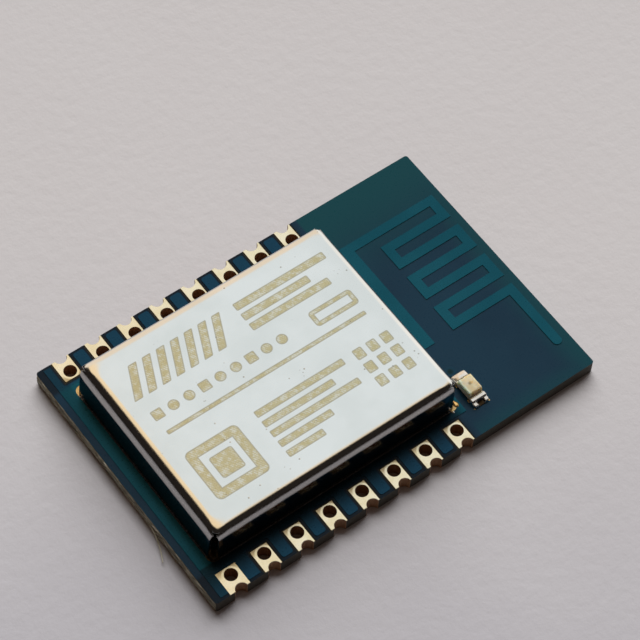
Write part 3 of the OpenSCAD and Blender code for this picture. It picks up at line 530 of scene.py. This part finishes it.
low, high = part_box("shield_can")
bends = ((0.30 * mm, 8.5, 5), (0.31 * mm, 57.0, 8), (0.44 * mm, 90.0, 9))    # each length, slope at its end, steps
sheet_t = 0.2 * mm
slit_top, slit_foot = 0.27 * mm, 0.36 * mm
lean_end, lean_near, lean_other = 0.22 * mm, 0.08 * mm, 0.0
flat_corner, edge_corner = 0.80 * mm, 0.27 * mm    # the roof's corner radius, on the flat and where the slits start
corner_rings = bends[0][2] + 5                     # rings of the section that run round the corners unbroken
corner_fade = 1.3
arc_points = 8
ease_rings = 4                                     # rings over which a wall's end runs out to the slit
wall_steps = 4
columns = 24


def can_section(inset):
    """The can's section, inset by a sheet's thickness or none: distance in from the wall, depth and slope."""
    out = down = slope = 0.0
    section = [(0.0, 0.0, 0.0)]
    for length, end, steps in bends:
        start, end = slope, math.radians(end)
        for k in range(steps):
            middle = start + (end - start) * (k + 0.5) / steps
            out += length / steps * math.cos(middle)
            down += length / steps * math.sin(middle)
            slope = start + (end - start) * (k + 1) / steps
            section.append((out, down, slope))
    height = high.z - low.z
    section += [(out, down + (height - down) * k / wall_steps, math.pi / 2) for k in range(1, wall_steps + 1)]
    return [(out - o + inset * math.sin(t), d + inset * math.cos(t) * (d < height - 1e-9), t) for o, d, t in section]


def can_skin(work, inset):
    """One face of the folded sheet: a crowned roof with round corners, and four bent walls."""
    section = can_section(inset)
    half = can_half.x, can_half.y
    strips = []
    rings = [[] for _ in range(corner_rings + 1)]
    for side in range(4):
        along_half, out_half = (half[1], half[0]) if side % 2 == 0 else half
        turn = Matrix.Rotation(side * math.pi / 2, 3, "Z")
        grid = []
        for j, (into_wall, depth, _) in enumerate(section):
            corner = flat_corner + (edge_corner - flat_corner) * min(1.0, j / corner_rings) ** corner_fade
            reach = along_half - section[min(j, corner_rings)][0] - corner
            if j > corner_rings:
                fall = (j - corner_rings) / (len(section) - 1 - corner_rings)
                slit = slit_top + (slit_foot - slit_top) * fall
                ease = min(1.0, (j - corner_rings) / ease_rings)
                reach += (along_half - slit - reach) * math.sin(ease * math.pi / 2)
            row = [work.verts.new(turn @ Vector((out_half - into_wall, reach * (2 * k / columns - 1), 0)) +
                                  Vector((can_mid.x, can_mid.y, high.z - depth))) for k in range(columns + 1)]
            grid.append(row)
            if j <= corner_rings:
                middle = Vector((out_half - into_wall - corner, along_half - section[j][0] - corner, 0))
                arc = []
                for k in range(1, arc_points):
                    a = math.pi / 2 * k / arc_points
                    spot = turn @ (middle + corner * Vector((math.cos(a), math.sin(a), 0)))
                    arc.append(work.verts.new(spot + Vector((can_mid.x, can_mid.y, high.z - depth))))
                rings[j].append((row, arc))
        strips.append(grid)
    loops = [[v for row, arc in ring for v in row + arc] for ring in rings]
    work.faces.new(loops[0])
    for a, b in zip(loops, loops[1:]):
        for k in range(len(a)):
            work.faces.new((a[k], b[k], b[(k + 1) % len(b)], a[(k + 1) % len(a)]))
    rims = []
    for grid in strips:
        for a, b in zip(grid[corner_rings:], grid[corner_rings + 1:]):
            for k in range(columns):
                work.faces.new((a[k], b[k], b[k + 1], a[k + 1]))
        rims.append([row[0] for row in grid[corner_rings:]] + grid[-1][1:-1] +
                    [row[-1] for row in reversed(grid[corner_rings:])])
    corners = [arc for row, arc in rings[corner_rings]]
    return [v for rim, arc in zip(rims, corners) for v in rim + arc]


def folded_can(name):
    """The folded sheet as a closed shell: both faces and the sheared edge between them."""
    work = bmesh.new()
    outer = can_skin(work, 0.0)
    inner = can_skin(work, sheet_t)
    for face in list(work.faces)[len(work.faces) // 2:]:
        face.normal_flip()
    for k in range(len(outer)):
        nxt = (k + 1) % len(outer)
        work.faces.new((outer[k], inner[k], inner[nxt], outer[nxt]))
    for vert in work.verts:
        up = (vert.co.z - low.z) / (high.z - low.z)
        from_mid = vert.co - can_mid
        vert.co.x -= from_mid.x * up * (lean_end if from_mid.x < 0 else lean_other) / can_half.x
        vert.co.y -= from_mid.y * up * (lean_near if from_mid.y < 0 else lean_other) / can_half.y
    bmesh.ops.recalc_face_normals(work, faces=work.faces)
    mesh = bpy.data.meshes.new(name)
    work.to_mesh(mesh)
    return mesh


can_metal, tree, bsdf = new_material("can_metal")
place = add(tree, "ShaderNodeTexCoord").outputs["Object"]
x, y, z = add(tree, "ShaderNodeSeparateXYZ", Vector=place).outputs[:]
worn = use(tree, grain, Drift_size=3.0, Grain_size=0.06)
marks = []


def mark(cx, cy, length, height, **more):
    """A plain mark on the roof, in mm: a bar, a hollow frame or a leaning stroke."""
    shape = use(tree, box_mask, X=cx, Y=cy, Half_length=length / 2, Half_width=height / 2, Edge=0.05, **more)
    marks.append(shape["Inside"])


# Seven slanted strokes, three bars, a row of dots and squares, a hollow bar and a long line.
for k in range(7):
    mark(-8.7 + 0.85 * k, 3.55, 0.45, 1.9, Corner=0.04, Lean=0.45)
for k, length in enumerate((5.6, 4.1, 4.9)):
    mark(-2.1 + length / 2, 4.25 - 0.72 * k, length, 0.42, Corner=0.06)
for k in range(9):
    mark(-8.85 + 0.95 * k, 1.35, 0.55, 0.55, Corner=0.27 if k % 3 else 0.05)
mark(2.0, 1.35, 2.6, 0.95, Corner=0.2, Line=0.22)
mark(-2.95, 0.2, 12.2, 0.2, Corner=0.05)
# Two nested squares, five bars and a grid of nine squares.
mark(-7.6, -2.85, 3.1, 3.1, Corner=0.3, Line=0.5)
mark(-7.6, -2.85, 1.3, 1.3, Corner=0.12)
for k, length in enumerate((5.4, 4.3, 5.4, 3.2, 2.2)):
    mark(-4.9 + length / 2, -1.5 - 0.68 * k, length, 0.36, Corner=0.05)
for k in range(9):
    mark(1.45 + 0.85 * (k % 3), -1.6 - 0.95 * (k // 3), 0.5, 0.6, Corner=0.06)
burnt = marks[0]
for shape in marks[1:]:
    burnt = maths(tree, "MAXIMUM", burnt, shape)
on_roof = ramp(tree, z, high.z - 0.02 * mm, high.z - 0.005 * mm)
slant = maths(tree, "MULTIPLY_ADD", y, 0.6, x)
lines = maths(tree, "SINE", maths(tree, "MULTIPLY", slant, 46000.0))
blotch = add(tree, "ShaderNodeTexNoise", Vector=place, Scale=3200.0, Detail=3.0, Roughness=0.7).outputs[0]
hatch = maths(tree, "ADD", blotch, maths(tree, "MULTIPLY", lines, 0.06))
burnt = maths(tree, "MULTIPLY", burnt, on_roof)
rim = maths(tree, "MULTIPLY", burnt, maths(tree, "SUBTRACT", 1.0, burnt))
outline = maths(tree, "MULTIPLY", rim, 2.2)
burnt = maths(tree, "MULTIPLY", burnt, ramp(tree, hatch, 0.30, 0.58, 0.42, 1.0))
pits = add(tree, "ShaderNodeTexVoronoi", Vector=place, Scale=2600.0).outputs["Distance"]
rare = add(tree, "ShaderNodeTexNoise", Vector=place, Scale=900.0, Detail=1.0).outputs[0]
pitted = maths(tree, "MULTIPLY", ramp(tree, pits, 0.16, 0.08), ramp(tree, rare, 0.58, 0.66))
clean = blend(tree, worn["Drift"], (0.76, 0.78, 0.77), (0.82, 0.835, 0.83))
khaki = blend(tree, worn["Fine"], (0.50, 0.44, 0.25), (0.64, 0.60, 0.40))
toned = blend(tree, outline, blend(tree, burnt, clean, khaki), (0.30, 0.25, 0.13))
# Painted shade: the bends and walls below the roof get a darker grey metal, so they mirror less than the roof.
folded = ramp(tree, z, high.z - 0.07 * mm, high.z - 0.22 * mm)
toned = blend(tree, folded, toned, blend(tree, worn["Fine"], (0.36, 0.35, 0.34), (0.50, 0.49, 0.47)))
toned = blend(tree, maths(tree, "MULTIPLY", pitted, 0.55), toned, (0.20, 0.17, 0.12))
tree.links.new(toned, bsdf.inputs["Base Color"])
bsdf.inputs["Metallic"].default_value = 1.0
rub = maths(tree, "MULTIPLY_ADD", worn["Fine"], 0.05, 0.09)
creased = maths(tree, "MULTIPLY", folded, ramp(tree, z, high.z - 0.60 * mm, high.z - 0.40 * mm))
rub = maths(tree, "ADD", rub, maths(tree, "MULTIPLY", creased, 0.14))
tree.links.new(maths(tree, "ADD", rub, maths(tree, "MULTIPLY", burnt, 0.12)), bsdf.inputs["Roughness"])
sunk = maths(tree, "MULTIPLY_ADD", burnt, 0.4, maths(tree, "MULTIPLY", pitted, 1.5))
relief = maths(tree, "SUBTRACT", worn["Height"], sunk)
bump = add(tree, "ShaderNodeBump", Strength=0.25, Distance=0.004 * mm, Height=relief)
tree.links.new(bump.outputs[0], bsdf.inputs["Normal"])

can = finish_piece("can_sheet", folded_can("can_sheet"), can_metal, level=True)
soft = can.modifiers.new("Sheared edge", "BEVEL")
soft.width = 0.02 * mm
soft.segments = 2
soft.limit_method = "ANGLE"
soft.angle_limit = math.radians(60)
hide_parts("shield_can")


# ---- Indicator lamp ----
# A small surface-mount lamp: a ceramic base with gilt ends hollowed by half holes, a die in the middle
# and a block of yellowish resin cast over it. Solder climbs both ends from the lands.

lamp_resin, tree, bsdf = new_material("lamp_resin")
place = add(tree, "ShaderNodeTexCoord").outputs["Object"]
x, y, z = add(tree, "ShaderNodeSeparateXYZ", Vector=place).outputs[:]
low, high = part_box("lamp_lens")
mid = (low + high) / 2
worn = use(tree, grain, Drift_size=0.55, Grain_size=0.09)
amber = add(tree, "ShaderNodeTexNoise", Vector=place, Scale=2600.0, Detail=2.0).outputs[0]
resin = blend(tree, worn["Drift"], (0.60, 0.50, 0.30), (0.72, 0.66, 0.48))
resin = blend(tree, ramp(tree, amber, 0.50, 0.68, 0.0, 0.8), resin, (0.66, 0.42, 0.12))
# Painted light: the block's side toward -X is tinted green.
resin = blend(tree, ramp(tree, x, low.x + 0.22 * mm, low.x - 0.02 * mm), resin, (0.60, 0.74, 0.62))
die = use(tree, box_mask, X=mid.x / mm, Y=mid.y / mm + 0.03, Half_length=0.07, Half_width=0.07, Corner=0.05,
          Edge=0.06)["Inside"]
resin = blend(tree, maths(tree, "MULTIPLY", die, 0.75), resin, (0.10, 0.08, 0.04))
tree.links.new(resin, bsdf.inputs["Base Color"])
bsdf.inputs["Roughness"].default_value = 0.28
bsdf.inputs["Subsurface Weight"].default_value = 0.75
bsdf.inputs["Subsurface Radius"].default_value = (1.0, 0.8, 0.5)
bsdf.inputs["Subsurface Scale"].default_value = 0.5 * mm
bump = add(tree, "ShaderNodeBump", Strength=0.5, Distance=0.012 * mm, Height=worn["Height"])
tree.links.new(bump.outputs[0], bsdf.inputs["Normal"])
lamp_white = plain_finish("lamp_white", (0.60, 0.57, 0.46), (0.80, 0.78, 0.68), 0.45)
lamp_dark = plain_finish("lamp_dark", (0.05, 0.045, 0.03), (0.12, 0.11, 0.07), 0.35, 0.3)
lamp_gilt = plain_finish("lamp_gilt", (0.70, 0.60, 0.42), (0.92, 0.84, 0.66), 0.22, 1.0, 0.4)
soft_copy("lamp_lens", "lamp_block", lamp_resin, 0.05 * mm)
soft_copy("lamp_base", "lamp_tray", lamp_white, 0.012 * mm)
dress("lamp_die", lamp_dark)
for node in ("lamp_end_near", "lamp_end_far"):
    soft_copy(node, node + "_soft", lamp_gilt, 0.01 * mm)


def fillet(name, node, outward, back_in, profile):
    """Solder over a lamp land, as a height field: profile(across, out), both 0 to 1, gives heights in mm."""
    low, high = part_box(node)
    steps_u, steps_v = 36, 20
    start = (low.y if outward > 0 else high.y) - outward * back_in
    reach = (high.y - low.y) + 0.03 * mm + back_in
    work = bmesh.new()
    top, under = [], []
    for j in range(steps_v + 1):
        v = j / steps_v
        rows = [], []
        for i in range(steps_u + 1):
            u = 2 * i / steps_u - 1
            narrow = 1 - 0.16 * max(0.0, (v - 0.6) / 0.4) ** 2
            x = (low.x + high.x) / 2 + u * 0.492 * mm * narrow
            y = start + outward * reach * v
            h = 0.012 + profile(abs(u), v)
            rows[0].append(work.verts.new((x, y, low.z + h * mm)))
            rows[1].append(work.verts.new((x, y, low.z)))
        top.append(rows[0])
        under.append(rows[1])
    for j in range(steps_v):
        for i in range(steps_u):
            work.faces.new((top[j][i], top[j][i + 1], top[j + 1][i + 1], top[j + 1][i]))
            work.faces.new((under[j][i], under[j + 1][i], under[j + 1][i + 1], under[j][i + 1]))
    for j in range(steps_v):
        for i in (0, steps_u):
            work.faces.new((top[j][i], top[j + 1][i], under[j + 1][i], under[j][i]))
    for i in range(steps_u):
        for j in (0, steps_v):
            work.faces.new((top[j][i], top[j][i + 1], under[j][i + 1], under[j][i]))
    bmesh.ops.recalc_face_normals(work, faces=work.faces)
    mesh = bpy.data.meshes.new(name)
    work.to_mesh(mesh)
    piece = finish_piece(name, mesh, bright_solder)
    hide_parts(node)
    return piece


def pinched(across, out):
    """A level strip over the lamp's end, then two level lobes with a hollow between them, in mm."""
    inner, outer = min(1.0, max(0.0, (across - 0.34) / 0.16)), min(1.0, max(0.0, (1.0 - across) / 0.10))
    rim = min(1.0, (1 - out) / 0.10)
    strip = 0.275 * min(1.0, max(0.0, (0.50 - out) / 0.10)) * math.sqrt(outer)
    return max(strip, 0.15 * inner * inner * (3 - 2 * inner) * math.sqrt(outer * rim))


def mounded(across, out):
    """One full mound that climbs over the end of the lamp, in mm."""
    rim = math.sqrt(max(0.0, 1 - (1 - min(1.0, (1 - across) / 0.25, (1 - out) / 0.3)) ** 2))
    return 0.32 * rim * (1 - 0.55 * max(0.0, out - 0.35) ** 1.2) * (1 - 0.25 * across ** 2)


fillet("lamp_fillet_near", "lamp_solder_near", -1, 0.19 * mm, pinched)
fillet("lamp_fillet_far", "lamp_solder_far", 1, 0.16 * mm, mounded)


# ---- Table, light and camera ----
# The module lies on a sheet of pale paper. A broad white panel stands behind it and lights the roof of
# the can, a soft lamp from the same side casts the shadows, and the rest of the room is dim.

paper, tree, bsdf = new_material("paper")
place = add(tree, "ShaderNodeTexCoord").outputs["Object"]
pulp = add(tree, "ShaderNodeTexNoise", Vector=place, Scale=1400.0, Detail=5.0, Roughness=0.6).outputs[0]
cloud = add(tree, "ShaderNodeTexNoise", Vector=place, Scale=60.0, Detail=2.0).outputs[0]
x, y, z = add(tree, "ShaderNodeSeparateXYZ", Vector=place).outputs[:]
# Painted light: the paper is paler toward the lamp's side and darker away from it.
away = maths(tree, "ADD", maths(tree, "MULTIPLY", x, 0.63), maths(tree, "MULTIPLY", y, 0.777))
tone = blend(tree, ramp(tree, away, -20 * mm, 12 * mm), (0.50, 0.492, 0.53), (0.625, 0.605, 0.612))
tone = blend(tree, maths(tree, "MULTIPLY", ramp(tree, cloud, 0.3, 0.7), 0.25), tone, (0.66, 0.65, 0.66))
tree.links.new(tone, bsdf.inputs["Base Color"])
bsdf.inputs["Roughness"].default_value = 0.9
bsdf.inputs["Specular IOR Level"].default_value = 0.2
bump = add(tree, "ShaderNodeBump", Strength=0.55, Distance=0.06 * mm, Height=pulp)
tree.links.new(bump.outputs[0], bsdf.inputs["Normal"])
bpy.ops.mesh.primitive_plane_add(size=3.0, location=(0, 0, cad_low.z))
floor = bpy.context.object
floor.name = "floor"
floor.data.materials.append(paper)

world = bpy.data.worlds.new("room")
world.use_nodes = True
bpy.context.scene.world = world
tree = world.node_tree
background = tree.nodes["Background"]
direction = add(tree, "ShaderNodeTexCoord").outputs["Generated"]
dir_x, dir_y, _ = add(tree, "ShaderNodeSeparateXYZ", Vector=direction).outputs[:]


def patch(azimuth, elevation, radius, edge):
    """1 inside a round patch of the room seen from the module, azimuth counted from +Y towards +X."""
    a, e = math.radians(azimuth), math.radians(elevation)
    centre = (math.sin(a) * math.cos(e), math.cos(a) * math.cos(e), math.sin(e))
    near = add(tree, "ShaderNodeVectorMath", {"operation": "DOT_PRODUCT"}, i0=direction, i1=centre).outputs["Value"]
    return ramp(tree, near, math.cos(math.radians(radius + edge)), math.cos(math.radians(radius)))


window = maths(tree, "MULTIPLY", ramp(tree, dir_x, 0.20, 0.235), ramp(tree, dir_y, 0.10, 0.27))
curtain = maths(tree, "MULTIPLY", ramp(tree, dir_x, 0.02, 0.09), ramp(tree, dir_y, 0.05, 0.20))
room = blend(tree, curtain, (0.018, 0.014, 0.012), (1.10, 0.82, 0.50))
room = blend(tree, window, room, (0.84, 0.88, 0.885))
for spot, colour in (((20, 26, 22, 6), (0.95, 0.78, 0.60)),        # a warm wall behind the panel
                     ((72, 20, 26, 6), (1.05, 1.0, 0.93)),        # a lit card at the aerial end
                     ((118, 14, 18, 8), (0.46, 0.46, 0.47))):     # a dimmer grey card beside it
    room = blend(tree, patch(*spot), room, colour)
around = blend(tree, patch(-110, 10, 60, 40), (0.085, 0.085, 0.09), (0.085, 0.05, 0.028))
rays = add(tree, "ShaderNodeLightPath").outputs
seen = blend(tree, rays["Is Glossy Ray"], around, room)
seen = blend(tree, rays["Is Camera Ray"], seen, (0.62, 0.61, 0.62))
tree.links.new(seen, background.inputs["Color"])

lamp_az, lamp_el = 39, 40
sun = bpy.data.lights.new("window", "SUN")
sun.energy = 4.0
sun.angle = math.radians(64)
sun.color = (1.0, 0.985, 0.97)
sun_object = bpy.data.objects.new("window", sun)
bpy.context.scene.collection.objects.link(sun_object)
a, e = math.radians(lamp_az), math.radians(lamp_el)
towards = Vector((math.sin(a) * math.cos(e), math.cos(a) * math.cos(e), math.sin(e)))
sun_object.rotation_euler = towards.to_track_quat("Z", "Y").to_euler()
sun_object.visible_glossy = False

azimuth, elevation, roll = (math.radians(v) for v in (-39.08, 57.85, 3.26))
distance = 136.25 * mm
target = Vector((2.207, 2.643, 0)) * mm
back = Vector((math.sin(azimuth) * math.cos(elevation), -math.cos(azimuth) * math.cos(elevation),
               math.sin(elevation)))
level = Vector((math.cos(azimuth), math.sin(azimuth), 0))
upward = back.cross(level)
right = level * math.cos(roll) + upward * math.sin(roll)
upright = upward * math.cos(roll) - level * math.sin(roll)
camera = bpy.data.cameras.new("camera")
camera.sensor_width = 36
camera.lens = 146.66
camera.clip_start = 0.01
camera.clip_end = 10
camera_object = bpy.data.objects.new("camera", camera)
bpy.context.scene.collection.objects.link(camera_object)
facing = Matrix((right, upright, back)).transposed().to_4x4()
camera_object.matrix_world = Matrix.Translation(target + back * distance) @ facing
bpy.context.scene.camera = camera_object
bpy.context.scene.view_settings.view_transform = "Standard"
